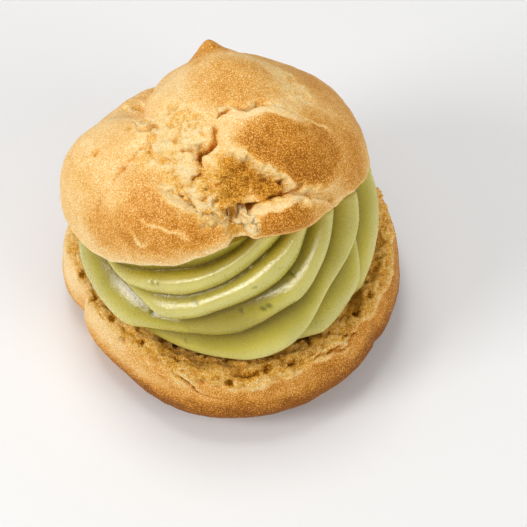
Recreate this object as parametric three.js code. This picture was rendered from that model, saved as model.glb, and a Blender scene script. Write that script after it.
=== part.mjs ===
// Cream puff: a choux bun cut in two, with a piped swirl of green cream between its base and its cap.
// Units are millimetres and degrees, +Z is up, and the origin is the middle of the flat foot of the base.
// Azimuths run anticlockwise from +X seen from above, so the front of the bun is at 270.

import * as THREE from "three";

const { clamp, degToRad, euclideanModulo, lerp, radToDeg } = THREE.MathUtils;

// The air left between two pieces that touch
const GAP = 0.35;
// Farther than any point of the bun is from any other
const FAR = 100;

// Base: the lower half of the bun, a shallow bowl with a rounded rim
const BELT_RADIUS = 40;
const BELT_HEIGHT = 10.5;
const FOOT_RADIUS = 25;
const RIM_RADIUS = 36.2;
const RIM_HEIGHT = 22.5;
const RIM_WIDTH = 7;
const BOWL_FLOOR = 14.5;
// Where the bun's wall is pressed flat, and where it is folded in
const BASE_FLATS = [{ azimuth: 222, spread: 24, depth: 3 }];
const BASE_CREASES = [
  { azimuth: 198, spread: 5, depth: 4, dip: 5 },
  { azimuth: 330, spread: 4, depth: 1, dip: 0.8 },
];
// How much of a flat and of a crease the rim takes on
const RIM_FLAT_SHARE = 0.6;
const RIM_CREASE_SHARE = 0.5;
const RIM_WAVES = [
  { count: 3, height: 0.6, phase: 40 },
  { count: 7, height: 0.35, phase: 110 },
];

// Cap: an ellipsoidal dome that leans back and to the left on the cream
const CAP_RADIUS = 35.2;
const CAP_RISE = 29.5;
const CAP_CENTRE = new THREE.Vector3(-3, 1, 45);
const CAP_TILT = 33;
const CAP_ROLL = 8;
// How far the middle of the underside is hollowed, how round its lip is, and where its shape is measured from
const CAP_HOLLOW = 3.5;
const CAP_LIP = 2.4;
const CAP_CORE_HEIGHT = 17;
// Stretches of the rim that hang below the cut, and the torn notch at the front
const RIM_HANGS = [
  { azimuth: 228, spread: 26, drop: 6.6 },
  { azimuth: 262, spread: 20, drop: 4.2 },
  { azimuth: 306, spread: 14, drop: 2.2 },
];
const NOTCH = { azimuth: 283.5, spread: 4, top: 75, fade: 6, depth: 3.4, lift: 2.5 };
// Broad swellings and hollows of the dome, placed by azimuth and by angle from its top
const LOBES = [
  { azimuth: 330, polar: 12, spread: 17, height: 2.5 },
  { azimuth: 165, polar: 34, spread: 30, height: -7 },
  { azimuth: 30, polar: 30, spread: 16, height: -2.5 },
  { azimuth: 205, polar: 62, spread: 22, height: 1.2 },
  { azimuth: 312, polar: 55, spread: 17, height: 1.6 },
  { azimuth: 250, polar: 82, spread: 20, height: 1.4 },
  { azimuth: 266, polar: 58, spread: 11, height: -1.4 },
  { azimuth: 291, polar: 69, spread: 8, height: -2.4 },
];
const NIPPLE = { azimuth: 60, polar: 5.5, spread: 5.5, height: 4.2 };
// Cracks in the crust, each a route of azimuth and polar angle
const CRACKS = [
  { depth: 1.8, width: 1.6, route: [[282, 43], [284, 39], [291, 37.5], [308, 40.5], [319, 45], [326, 52]] },
  { depth: 2.2, width: 1.6, route: [[282, 43], [280, 48], [272, 52], [272, 58], [270, 64]] },
  { depth: 3, width: 1.8, route: [[284, 79], [290, 78], [297, 77], [302, 76], [307, 76.5]] },
  { depth: 1, width: 1.3, route: [[223, 86], [227, 78], [233, 66], [242, 53], [253, 45]] },
  { depth: 4.2, width: 3, route: [[120, 48], [150, 38], [190, 32], [225, 30], [244, 36], [254, 43]] },
];

// Cream: a fat swirl whose strands leave the rim and climb ever more steeply as they turn
const CREAM_CENTRE = new THREE.Vector3(-0.8, 0, 36);
const CREAM_RADIUS = 32.6;
const CREAM_HALF_WIDTH = 31.8;
const CREAM_RISE = 46;
// A strand stands out by a share of its width, up to the full height of a ridge
const RIDGE_HEIGHT = 3.2;
const RIDGE_SHARE = 0.45;
// How gently the swirl turns in under the cap, and into the bowl
const CREAM_SHOULDER = 4;
const CREAM_FOOT = 0.8;
// The swirl bulges where it rests on the rim of the base
const FOOT_BULGE = { latitude: -23, spread: 6, height: 1.5 };
// Latitudes of the foot of the swirl and of the point where a strand has made its sweep
const SWIRL_LOW = -19;
const SWIRL_HIGH = 50;
// The grooves between strands: where each leaves the rim, and how far it turns on its way up
const GROOVES = [
  { start: 15, sweep: 165 },
  { start: 44, sweep: 180 },
  { start: 72, sweep: 198 },
  { start: 99, sweep: 213 },
  { start: 162, sweep: 165 },
  { start: 212, sweep: 126 },
  { start: 233, sweep: 124 },
  { start: 262, sweep: 120 },
  { start: 290, sweep: 127 },
  { start: 318, sweep: 137 },
  { start: 346, sweep: 150 },
];
// How far along their sweep the strands begin and end to show
const SWEEP_FROM = 0.16;
const SWEEP_TO = 1.12;

// Facets: columns round each piece, and rows from the top of its surface to the bottom
const BASE_COLUMNS = 64;
const CAP_COLUMNS = 84;
const CAP_FRONT_PACKING = 0.35;
const CAP_DOME_SHARE = 0.8;
const CAP_LIP_FADE = 0.08;
const CAP_ROWS = 40;
const STRAND_COLUMNS = 7;
const TOP_LATITUDES = [90, 80];
const SWEEP_ROWS = 19;
const BOWL_LATITUDES = [-20, -23, -26, -29, -32, -35, -38, -42, -47, -55, -90];

const total = (items, amount) => items.reduce((sum, item) => sum + amount(item), 0);
const turnBetween = (a, b) => euclideanModulo(a - b + 180, 360) - 180;
const swell = (distance, spread) => Math.exp(-((distance / spread) ** 2));
const fold = (distance, spread) => Math.exp(-Math.abs(distance) / spread);
const softMin = (a, b, blend) => {
  const share = clamp(0.5 + (b - a) / (2 * blend), 0, 1);
  return lerp(b, a, share) - blend * share * (1 - share);
};

// A unit vector at an azimuth and an angle from +Z
function aim(azimuth, polar) {
  const turn = degToRad(azimuth);
  const across = Math.sin(degToRad(polar));
  return new THREE.Vector3(across * Math.cos(turn), across * Math.sin(turn), Math.cos(degToRad(polar)));
}

// A closed surface of rings from pole to pole, whose vertices are place(azimuth, share of the way down)
function ringedSurface(columns, rows, place) {
  const geometry = new THREE.SphereGeometry(1, columns, rows);
  const { position } = geometry.attributes;
  for (let i = 0; i < position.count; i++) {
    const column = i % (columns + 1);
    const row = Math.floor(i / (columns + 1));
    const pole = row === 0 || row === rows;
    const azimuth = pole ? 0 : (360 * (column % columns)) / columns;
    position.setXYZ(i, ...place(azimuth, row / rows));
  }
  geometry.computeVertexNormals();
  return geometry;
}

// The end of the stretch over which a test holds, for a test that holds up to some value and not past it
function lastPassing(low, high, test) {
  if (test(high)) return high;
  let [passes, fails] = [low, high];
  for (let step = 0; step < 40; step++) {
    const middle = (passes + fails) / 2;
    if (test(middle)) passes = middle;
    else fails = middle;
  }
  return passes;
}

// How far a ray from a start stays inside a shape
const reach = (start, direction, inside) =>
  lastPassing(0, FAR, (distance) => inside(start.clone().addScaledVector(direction, distance)));

// The base's sizes at an azimuth: its belt, and its rim as it was cut and with its creases
function baseSizes(azimuth) {
  const flat = total(BASE_FLATS, (f) => f.depth * swell(turnBetween(azimuth, f.azimuth), f.spread));
  const pinch = (key) => total(BASE_CREASES, (c) => c[key] * fold(turnBetween(azimuth, c.azimuth), c.spread));
  const wave = total(RIM_WAVES, (w) => w.height * Math.cos(degToRad(w.count * azimuth + w.phase)));
  const cutRadius = RIM_RADIUS - RIM_FLAT_SHARE * flat;
  const cutHeight = RIM_HEIGHT + wave;
  return {
    belt: BELT_RADIUS - flat - pinch("depth"),
    cutRadius,
    cutHeight,
    rimRadius: cutRadius - RIM_CREASE_SHARE * pinch("depth"),
    rimHeight: cutHeight - pinch("dip"),
  };
}

// Height of the bowl and the inner half of the rim at a radius, if the rim had no creases
function bowlHeight(radius, azimuth) {
  const { cutRadius, cutHeight } = baseSizes(azimuth);
  const inward = clamp((cutRadius - radius) / RIM_WIDTH, 0, 1);
  return lerp(BOWL_FLOOR, cutHeight, Math.sqrt(1 - inward ** 2));
}

// One section of the base: over the bowl, the rim, the belt and the foot
function baseSection(azimuth) {
  const { belt, cutRadius, rimRadius, rimHeight } = baseSizes(azimuth);
  const bowlRadius = cutRadius - RIM_WIDTH;
  const quarter = (steps, place) =>
    Array.from({ length: steps }, (_, i) => {
      const angle = ((i + 1) / steps) * (Math.PI / 2);
      return place(Math.sin(angle), Math.cos(angle));
    });
  return [
    [0, BOWL_FLOOR],
    [bowlRadius / 2, BOWL_FLOOR],
    [bowlRadius, BOWL_FLOOR],
    ...quarter(5, (sin, cos) => [lerp(rimRadius, bowlRadius, cos), lerp(BOWL_FLOOR, rimHeight, sin)]),
    ...quarter(6, (sin, cos) => [lerp(rimRadius, belt, sin), lerp(BELT_HEIGHT, rimHeight, cos)]),
    ...quarter(6, (sin, cos) => [lerp(FOOT_RADIUS, belt, cos), lerp(BELT_HEIGHT, 0, sin)]),
    [FOOT_RADIUS / 2, 0],
    [0, 0],
  ];
}

function baseGeometry() {
  const rows = baseSection(0).length - 1;
  return ringedSurface(BASE_COLUMNS, rows, (azimuth, share) => {
    const [radius, height] = baseSection(azimuth)[Math.round(share * rows)];
    const turn = degToRad(azimuth);
    return [radius * Math.cos(turn), radius * Math.sin(turn), height];
  });
}

// The cap's own frame, with its rim in the plane z = 0
const capFrame = new THREE.Matrix4()
  .makeRotationFromEuler(new THREE.Euler(degToRad(-CAP_TILT), degToRad(-CAP_ROLL), 0, "YXZ"))
  .setPosition(CAP_CENTRE);
const toCapFrame = capFrame.clone().invert();

// Height of the cap's underside in its own frame, without the notch
function undersideHeight(x, y) {
  const share = Math.min((x ** 2 + y ** 2) / CAP_RADIUS ** 2, 1);
  const azimuth = radToDeg(Math.atan2(y, x));
  const hang = total(RIM_HANGS, (h) => h.drop * swell(turnBetween(azimuth, h.azimuth), h.spread));
  return CAP_HOLLOW * (1 - share) - hang * share;
}

// How much higher the underside lies in the notch, which is deepest at the rim
function notchLift(x, y) {
  const share = Math.min((x ** 2 + y ** 2) / CAP_RADIUS ** 2, 1);
  const azimuth = radToDeg(Math.atan2(y, x));
  return NOTCH.lift * share ** 4 * swell(turnBetween(azimuth, NOTCH.azimuth), NOTCH.spread);
}

// How far the notch is torn into the dome, at a point of the unit sphere
function notchDepth(spot) {
  const azimuth = radToDeg(Math.atan2(spot.y, spot.x));
  const polar = radToDeg(Math.acos(spot.z));
  const torn = clamp((polar - NOTCH.top) / NOTCH.fade, 0, 1);
  return NOTCH.depth * torn * swell(turnBetween(azimuth, NOTCH.azimuth), NOTCH.spread);
}

const crackLines = CRACKS.map(({ depth, width, route }) => {
  const curve = new THREE.CatmullRomCurve3(route.map((point) => aim(...point)));
  const steps = 8 * route.length;
  const points = curve.getPoints(steps).map((point) => point.normalize());
  // A crack is shallower towards its ends
  const depths = points.map((_, i) => depth * Math.sqrt(Math.sin(Math.PI * lerp(0.1, 0.9, i / steps))));
  return { width, points, depths };
});
const lobeSpots = LOBES.map((lobe) => ({ ...lobe, spot: aim(lobe.azimuth, lobe.polar) }));
const nippleSpot = aim(NIPPLE.azimuth, NIPPLE.polar);

// How far the crust stands out of the plain dome, at a point of the unit sphere
function crustRelief(spot) {
  const away = (other) => radToDeg(spot.angleTo(other));
  const lobes = total(lobeSpots, (l) => l.height * swell(away(l.spot), l.spread));
  const cracks = crackLines.map(({ width, points, depths }) =>
    Math.max(...points.map((point, i) => depths[i] * swell(CAP_RADIUS * point.distanceTo(spot), width))));
  const fromTip = away(nippleSpot);
  const nipple = NIPPLE.height * fold(fromTip, NIPPLE.spread) * swell(fromTip, 3 * NIPPLE.spread);
  return lobes + nipple - Math.max(...cracks);
}

// The columns of the cap stand closer together at its cracked front
const packToFront = (azimuth) => azimuth + radToDeg(CAP_FRONT_PACKING * Math.cos(degToRad(azimuth)));

function capGeometry() {
  const core = new THREE.Vector3(0, 0, CAP_CORE_HEIGHT);
  const size = new THREE.Vector3(CAP_RADIUS, CAP_RADIUS, CAP_RISE);
  const domePoint = (azimuth, polar) => aim(azimuth, polar).multiply(size);
  const inDome = (p) => p.divide(size).length() < 1;
  const aboveFloor = (p) => p.z > undersideHeight(p.x, p.y) + notchLift(p.x, p.y);
  // Even steps down the dome to its lip, then even steps across the underside to its middle
  const rowPoint = (azimuth, share) => {
    const lip = lastPassing(60, 140, (polar) => aboveFloor(domePoint(azimuth, polar)));
    const down = share / CAP_DOME_SHARE;
    if (down <= 1) return domePoint(azimuth, 90 * down + (lip - 90) * down ** 3);
    const inward = (share - CAP_DOME_SHARE) / (1 - CAP_DOME_SHARE);
    return domePoint(azimuth, lip).lerp(new THREE.Vector3(0, 0, CAP_HOLLOW), inward);
  };
  return ringedSurface(CAP_COLUMNS, CAP_ROWS, (column, share) => {
    const direction = rowPoint(packToFront(column), share).sub(core).normalize();
    const dome = reach(core, direction, inDome);
    const spot = core.clone().addScaledVector(direction, dome).divide(size).normalize();
    const radius = softMin(dome - notchDepth(spot), reach(core, direction, aboveFloor), CAP_LIP);
    // The relief stands along the dome's normal, and fades out at the lip
    const relief = crustRelief(spot) * clamp((CAP_DOME_SHARE - share) / CAP_LIP_FADE, 0, 1);
    const normal = spot.divide(size).normalize();
    return core.clone().addScaledVector(direction, radius).addScaledVector(normal, relief).toArray();
  });
}

// The groove-to-groove section of a strand: a gentle slope up to a crest, then a steep fall
const strandSection = (across) => Math.sin(Math.PI * across ** 1.7) ** 0.8;

// A line up the swirl: how far across its strand it runs, its azimuth, and the strand's width there
function swirlLine(share, swept, latitude) {
  const index = Math.floor(share * GROOVES.length) % GROOVES.length;
  const across = share * GROOVES.length - Math.floor(share * GROOVES.length);
  const groove = GROOVES[index];
  const next = GROOVES[(index + 1) % GROOVES.length];
  const sweep = lerp(groove.sweep, next.sweep, across);
  const azimuth = groove.start + groove.sweep * swept;
  const spacing = euclideanModulo(next.start + next.sweep * swept - azimuth, 360);
  // The strand leans, so it is narrower than the level distance between its grooves
  const climb = (2 * swept * (SWIRL_HIGH - SWIRL_LOW)) / sweep;
  const level = Math.cos(degToRad(latitude));
  const width = (CREAM_RADIUS * degToRad(spacing) * level * climb) / Math.hypot(climb, level);
  return { across, width, azimuth: azimuth + across * spacing };
}

// Rows of the cream, over its top, the swirl and the bowl: a latitude, and how far the strands have swept
const latitudeAt = (swept) => lerp(SWIRL_LOW, SWIRL_HIGH, swept ** 2);
const sweptAt = (row) => lerp(SWEEP_TO, SWEEP_FROM, row / SWEEP_ROWS);
const creamRows = [
  ...TOP_LATITUDES.map((latitude) => ({ latitude, swept: SWEEP_TO })),
  ...Array.from({ length: SWEEP_ROWS + 1 }, (_, row) => sweptAt(row))
    .map((swept) => ({ latitude: latitudeAt(swept), swept })),
  ...BOWL_LATITUDES.map((latitude) => ({ latitude, swept: SWEEP_FROM })),
];

function creamGeometry() {
  const size = new THREE.Vector3(CREAM_HALF_WIDTH, CREAM_RADIUS, CREAM_RISE);
  const underCap = (p) => {
    p.applyMatrix4(toCapFrame);
    return p.z < undersideHeight(p.x, p.y) - GAP;
  };
  const inBowl = (p) => p.z > bowlHeight(Math.hypot(p.x, p.y), radToDeg(Math.atan2(p.y, p.x))) + GAP;
  const rows = creamRows.length - 1;
  return ringedSurface(STRAND_COLUMNS * GROOVES.length, rows, (column, share) => {
    const { swept, latitude } = creamRows[Math.round(share * rows)];
    const { across, width, azimuth } = swirlLine(column / 360, swept, latitude);
    const direction = aim(azimuth, 90 - latitude);
    const ridge = Math.min(RIDGE_HEIGHT, RIDGE_SHARE * width) * strandSection(across);
    const bulge = FOOT_BULGE.height * swell(latitude - FOOT_BULGE.latitude, FOOT_BULGE.spread);
    const swirl = 1 / direction.clone().divide(size).length() + ridge + bulge;
    const lid = reach(CREAM_CENTRE, direction, underCap);
    const bowl = reach(CREAM_CENTRE, direction, inBowl);
    const radius = softMin(softMin(swirl, lid, CREAM_SHOULDER), bowl, CREAM_FOOT);
    return CREAM_CENTRE.clone().addScaledVector(direction, radius).toArray();
  });
}

function piece(name, geometry, colour, roughness) {
  const material = new THREE.MeshStandardMaterial({ color: colour, roughness, metalness: 0 });
  const mesh = new THREE.Mesh(geometry, material);
  mesh.name = name;
  return mesh;
}

const puff = new THREE.Group();
puff.add(piece("choux_base", baseGeometry(), 0xd8a860, 0.75));
puff.add(piece("cream_swirl", creamGeometry(), 0xb5b46a, 0.4));
const cap = piece("choux_cap", capGeometry(), 0xd79f55, 0.75);
cap.applyMatrix4(capFrame);
puff.add(cap);

export default puff;
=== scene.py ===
# Cream puff: a choux bun cut in two, with a piped swirl of green cream between its base and its cap.
# Sizes are in millimetres and angles in degrees, and the meshes are made in metres.
# Azimuths run anticlockwise from +X seen from above, so the front of the bun is at 270.
import math

import bpy
import numpy as np
from mathutils import Color, Matrix, noise


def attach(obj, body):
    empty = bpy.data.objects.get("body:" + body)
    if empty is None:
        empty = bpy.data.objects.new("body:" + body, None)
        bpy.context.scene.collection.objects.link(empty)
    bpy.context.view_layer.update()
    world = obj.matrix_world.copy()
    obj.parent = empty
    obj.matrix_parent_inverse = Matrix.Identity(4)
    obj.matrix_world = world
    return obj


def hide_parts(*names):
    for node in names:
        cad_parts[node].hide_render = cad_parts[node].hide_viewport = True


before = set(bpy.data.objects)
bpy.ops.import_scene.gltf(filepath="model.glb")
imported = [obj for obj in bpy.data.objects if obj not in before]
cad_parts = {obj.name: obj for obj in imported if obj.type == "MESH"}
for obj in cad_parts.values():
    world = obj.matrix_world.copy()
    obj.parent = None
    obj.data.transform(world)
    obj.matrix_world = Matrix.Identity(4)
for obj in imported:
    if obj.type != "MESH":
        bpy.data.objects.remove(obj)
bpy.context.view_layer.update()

MM = 0.001
# The air left between two pieces that touch, a distance longer than the bun, and one that is hardly any
GAP = 0.35
FAR = 100
TINY = 1e-9
BISECTIONS = 26
# Noise: its seed, how far apart two patterns lie, and how octaves follow; a pattern is height, size, octaves
NOISE_SEED = 5
SEED_STEP = np.array([17.3, -9.1, 5.7])
OCTAVE_STEPS = (1.0, 2.0)

# Base: the lower half of the bun, a shallow bowl with a rounded rim
BELT_RADIUS = 40
BELT_HEIGHT = 10.5
FOOT_RADIUS = 25
RIM_RADIUS = 36.2
RIM_HEIGHT = 22.5
RIM_WIDTH = 7
BOWL_FLOOR = 14.5
BASE_FLATS = [{"azimuth": 222, "spread": 24, "depth": 3}]
BASE_CREASES = [
    {"azimuth": 198, "spread": 5, "depth": 4, "dip": 5},
    {"azimuth": 330, "spread": 4, "depth": 1, "dip": 0.8},
]
RIM_FLAT_SHARE = 0.6
RIM_CREASE_SHARE = 0.5
RIM_WAVES = [
    {"count": 3, "height": 0.6, "phase": 40},
    {"count": 7, "height": 0.35, "phase": 110},
]
# The torn crumb reaches this far outside the crest of the rim, further at the front, and its edge wanders
TORN_RISE = 0.6
TORN_REACH = 2.6
TORN_BLUR = 0.8
TORN_WANDER = (2, 6, 4)
TORN_FRONT = {"azimuth": 264, "spread": 16, "reach": 1.6}
TORN_LIP_WIDTH = 0.7
# Heights between which the crumb starts inside the bowl, and relief starts above the flat foot
TORN_START = (BOWL_FLOOR + 2, RIM_HEIGHT - 3)
RELIEF_START = (0.5, 3)
# Pits along the outer edge of the torn rim: azimuth, radius, height, size and depth
RIM_PITS = [
    (270, 37.9, 20.4, 1.3, 1.56), (274.5, 36.6, 21.6, 0.9, 1.08), (277, 36.6, 21.7, 1.2, 1.44),
    (279.5, 36.3, 21.9, 1.0, 1.32), (284, 35.8, 22.0, 1.1, 1.56), (293.5, 36.2, 22.2, 0.9, 1.56),
    (316, 36.9, 21.8, 0.8, 1.08), (319, 37.9, 20.7, 0.7, 0.96), (326, 34.8, 22.2, 1.1, 1.2),
    (334, 35.6, 22.6, 0.8, 1.2), (193.5, 35.2, 20.4, 1.2, 1.44), (205, 34.6, 21.2, 1.3, 1.44),
    (219, 34.4, 22.6, 1.1, 1.2), (235, 34.8, 23, 1.0, 1.2),
]
# The walls of pits, cracks and patches lie between two shares of their size
RIM_PIT_WALL = (1.15, 0.6)
# Fine cracks in the skin of the base, with pale lips: azimuth, radius and height along each
BASE_CRACKS = [
    [(250, 37.3, 21.4), (253, 37.8, 20.7), (257, 38.5, 19.1), (260, 39, 17.3), (264, 39.3, 16.5),
     (270, 39.5, 16)],
    [(300.5, 37.2, 21.6), (308, 37.5, 21.3), (312.5, 37.8, 20.9), (315, 36.8, 21.9)],
    [(308, 37.5, 21.3), (313, 38.6, 19.6), (319, 38, 20.6)],
]
# A crack's dark is painted shade inside it
BASE_CRACK = {"depth": 1.1, "width": 0.5, "wall": (1, 0.3), "ends": 0.02, "dark": 0.85}
BASE_CRACK_LIP = {"share": 0.8, "width": 1.5}
# How far the base is baked, on the scale of CRUST_STOPS: paler at the left as painted light, paler on lips,
# and darker low down, partly as painted shade
BASE_LIT_LEFT = {"azimuth": 195, "spread": 45, "skin": 0.52, "crumb": 0.16}
BASE_SKIN = {"bake_and_shade": 0.73, "wander": (0.2, 13, 3)}
# Low down the base is darker: partly browner baking, partly painted shade and a painted warm reflection
BASE_LOW = {"bake_and_shade": 0.45, "heights": (17, 8)}
# Hollows in the crumb are baked darker as painted shade
BASE_CRUMB = {"outer": 0.3, "inner": 0.5, "distances": (4, 0.5), "shaded_hollow": 0.16}
BASE_LIP = {"bake_and_shade": 0.14, "share": 0.6}

# Cap: an ellipsoidal dome that leans back and to the left on the cream
CAP_RADIUS = 35.2
CAP_RISE = 29.5
CAP_SIZE = np.array([CAP_RADIUS, CAP_RADIUS, CAP_RISE])
CAP_CENTRE = np.array([-3, 1, 45])
CAP_TILT = 33
CAP_ROLL = 8
CAP_HOLLOW = 3.5
CAP_LIP = 2.4
CAP_CORE = np.array([0, 0, 17])
# The lip of the cap is looked for between these angles from its top
LIP_SEARCH = (60, 140)
RIM_HANGS = [
    {"azimuth": 228, "spread": 26, "drop": 6.6},
    {"azimuth": 262, "spread": 20, "drop": 4.2},
    {"azimuth": 306, "spread": 14, "drop": 2.2},
]
# The lip is torn, and more so in the notch
LIP_TEAR = (0.5, 4, 5)
TEAR_STEP = 0.5
NOTCH_TEAR_SHARE = 3
# Powers of the way out to the rim that keep the lift of the notch and the tear close to it
NOTCH_LIFT_POWER = 4
LIP_TEAR_POWER = 6
# A torn recess at the front, which starts below an angle from the top and is shallow at the rim; inside, its
# crumb is baked darker, partly golden crumb and partly painted shade
NOTCH = {
    "azimuth": 283.5, "spread": 3.6, "sides": (1.5, 0.6), "top": 76, "fade": 3, "wander": (1.5, 2, 3),
    "depth": 4.2, "at_rim": 0.3, "rim": (80, 89), "lift": 0.2, "bake_and_shade": 0.6,
}
# Crumbs come loose beside the notch, over this many spreads and these shares of the rows
NOTCH_CRUMBLE = {"spread": 1.4, "rows": (0.7, 0.8)}
# Broad swellings and hollows of the dome: azimuth, angle from its top, spread and height
LOBES = [
    (330, 12, 17, 2.5), (165, 34, 30, -7), (30, 30, 16, -2.5), (203, 60, 20, 2.0), (312, 56, 17, 1.9),
    (300, 24, 18, 0.8), (303, 88, 9, 1.8), (250, 80, 18, 2.0), (266, 58, 11, -1.4), (291, 69, 8, -2.4),
]
NIPPLE = {"azimuth": 60, "polar": 5.5, "spread": 4.4, "height": 6.4, "bluntness": 6, "reach": 3}
# Cracks in the crust: depth, half width, share of the depth left at the end of the route, and the route
CRACKS = [
    (1.7, 0.55, 0.35, [(282, 44), (284, 39.5), (291, 37.5), (299, 39.5), (308, 40.5), (319, 45), (326, 52)]),
    (2.8, 1.05, 0.8, [(282, 44), (280, 48), (276, 50.5), (272.5, 52), (272.5, 58), (270, 64)]),
    (4.0, 1.25, 0.6, [(282, 79.5), (286, 79), (290, 78), (297, 77), (302, 76), (308, 76.5)]),
]
# What shapes every crack: its fade along the route, ends, wall, uneven width and the sag beside it
CRACK = {"fade": (0.3, 0.8), "ends": 0.06, "end_width": 0.6, "wall": (1, 0.25), "wander": (0.9, 3, 2)}
CRACK_SAG = {"share": 0.25, "width": 2.5}
# A fine dotted seam down the left of the front plate, painted dark as shade in its groove, and a soft valley
# behind the left lobe
SEAM = {
    "depth": 0.9, "width": 0.55, "wall": (1, 0.2), "dip": 1.3, "dip_width": 2.6,
    "dots": (1, 1.8, 2), "dot_levels": (-0.4, 0.1), "dark": 0.55,
    "route": [(221, 89), (227, 78), (233, 66), (242, 53), (254, 44)],
}
VALLEY = {
    "depth": 4.2, "end_depth": 1.5, "end_from": 0.45, "width": 3.2,
    "route": [(90, 58), (120, 48), (150, 39), (190, 33), (225, 31), (244, 36), (256, 42)],
}
# Broken edges of the crust, high on the left of the route: height, width of the pale band, and route
STEPS = [
    (0.9, 2.0, [(326, 52), (319, 45), (308, 40.5), (299, 39.5), (291, 37.5), (284, 40)]),
    (1.5, 0.8, [(284, 45), (285, 53), (289, 57), (296, 63), (303.5, 71), (306, 75.5), (313, 79),
                (325, 81.5)]),
    (1.3, 0.3, [(281, 87), (278, 82), (272.5, 77.5), (266, 74), (261, 70.5), (257, 66)]),
    (1.1, 1.2, [(322, 87), (308, 79), (298, 79.5), (289, 81), (287, 85), (288, 91)]),
]
# Distances that shape every step: how wide it rises, how far its sides reach, its torn foot and pale band
STEP = {
    "ends": 0.03, "rise": (-0.45, 0.45), "high_reach": 4, "low_reach": 2.2, "torn_edge": (0.4, -0.2),
    "torn_reach": (3, 1), "band_start": (-0.5, 0), "band_end": np.array([0.6, -0.1]),
}
# Pale scratches in the browned skin
PALE_LINES = [
    [(242.6, 80.6), (247, 85.5), (250, 89.5), (254, 86)],
    [(249, 78), (256, 80.5), (261, 83), (268, 88)],
    [(322, 47), (330, 55), (336, 62)],
]
PALE_LINE = {"strength": 0.95, "width": 0.5}
# Patches of torn crumb: azimuth, angle from the top, radius and strength
TORN_PATCHES = [
    (262, 47, 13, 0.85), (257, 38, 9, 0.7), (240, 36, 8, 0.8), (250, 52, 8, 0.5), (268, 62, 10, 1.0),
    (284, 66, 12, 1.0), (296, 70, 8, 1.0), (275, 78, 6, 1.0), (284, 84, 5, 1.0), (342, 42, 7, 0.6),
    (352, 34, 6, 0.6), (312, 80, 5, 0.6), (150, 44, 7, 0.7),
]
# The ragged end of the flap beside the notch, in the same way
FLAP_END = (288, 85, 4.6, 1.0)
# Torn faces that stayed golden: azimuth, angle from the top, radius and strength
GOLDEN_FACES = [
    (288, 65, 10, 1.0), (297, 71, 7, 1.0), (283, 74, 6, 0.9), (284, 57, 5, 0.8), (275, 66, 5, 0.6),
    (275, 80, 5, 0.5),
]
# Their relief is flatter and their surface less rough than other crumb by these shares
GOLDEN_FLATNESS = 0.5
GOLDEN_SMOOTHNESS = 0.2
# Patches where the skin is baked further: azimuth, angle from the top, radius and what they add to its bake
BAKED_PATCHES = [
    (310, 58, 17, 0.52), (321, 65, 18, 0.49), (336, 72, 19, 0.34), (310, 28, 14, 0.25),
    (295, 22, 12, 0.16), (60, 5.5, 10, 0.36), (300, 87, 13, 0.48), (318, 88, 10, 0.25),
    (252, 80, 17, 0.38), (268, 84, 11, 0.4), (236, 84, 13, 0.26), (246, 70, 11, 0.26),
    (215, 74, 14, 0.1), (20, 60, 30, 0.3), (80, 50, 34, 0.28), (140, 70, 24, 0.2),
]
# The edges of patches wander, by angles, and are soft
TORN_EDGE = {"wander": (4, 4.5, 4), "wall": (1.25, 0.7)}
FLAP_EDGE = {"wander": (2, 2, 3), "wall": (1.25, 0.7)}
GOLDEN_EDGE = {"wander": (2.5, 4, 3), "wall": (1.25, 0.7)}
BAKED_EDGE = {"wander": (5, 9, 3), "wall": (1.3, 0.6)}
# Bake, on the scale of CRUST_STOPS, of skin, pale and golden crumb and the flap's end, and what hollows add
# as painted shade
SKIN = {"bake_and_shade": 0.3, "wander": (0.1, 12, 3)}
CRUMB = {"bake_and_shade": 0.12, "shaded_hollow": 0.38}
GOLDEN_CRUMB = {"bake_and_shade": 0.77, "shaded_hollow": 0.06}
FLAP_CRUMB = {"bake_and_shade": 0.1, "shaded_hollow": 0.4}
# Bake of pale edges, of the thin lip and of the underside, and where those two lie along the rows
PALE_EDGE = {"bake_and_shade": 0.12, "share": 0.95, "less_in_hollows": 0.5}
LIP_EDGE = {"bake_and_shade": 0.02, "share": 0.9, "width": 0.016}
UNDERSIDE = {"bake_and_shade": 0.5, "rows": (-0.005, 0.01)}
# Pits in the cap: azimuth, angle from the top, size and depth
CAP_PITS = [
    (148.5, 44.8, 2.2, 1.6), (250, 31.6, 1.1, 0.9), (245, 38.2, 1.6, 1.2), (259.6, 45, 1.0, 0.8),
    (249, 51, 1.2, 0.8), (257.6, 55.6, 1.0, 0.6), (220, 56.5, 1.3, 0.6), (231, 41.7, 1.3, 0.7),
    (267, 39.5, 0.8, 0.6), (340, 44.2, 0.9, 0.8), (351.6, 40.2, 0.9, 0.7), (352, 35, 0.8, 0.7),
    (332, 48.5, 0.8, 0.7), (308, 75, 1.6, 1.8), (303, 71, 0.9, 0.9), (299, 68, 0.8, 0.8),
    (313, 80, 1.0, 1.0), (323, 86, 0.9, 0.9),
]
CAP_PIT_WALL = (1, 0.45)

# Cream: a fat swirl whose strands leave the rim and climb ever more steeply as they turn
CREAM_CENTRE = np.array([-0.8, 0, 36])
CREAM_SIZE = np.array([31, 32.4, 46])
CREAM_TUCK = 7
CREAM_TAPER = 12
# The sides of the swirl lean in above its middle, between two latitudes
CREAM_LEAN = {"share": 0.16, "latitudes": (-5, 45)}
# The cream draws back further under the cap at the right
CREAM_RIGHT_TUCK = {"azimuth": 8, "spread": 40, "depth": 5}
CREAM_SHOULDER = 4
CREAM_FOOT = 0.8
CREAM_WAVE = (0.3, 8, 2)
GROOVE_DEPTH = 1.2
RIDGE_HEIGHT = 5.4
RIDGE_SHARE = 0.44
STRAND_ROUNDNESS = 0.8
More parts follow.
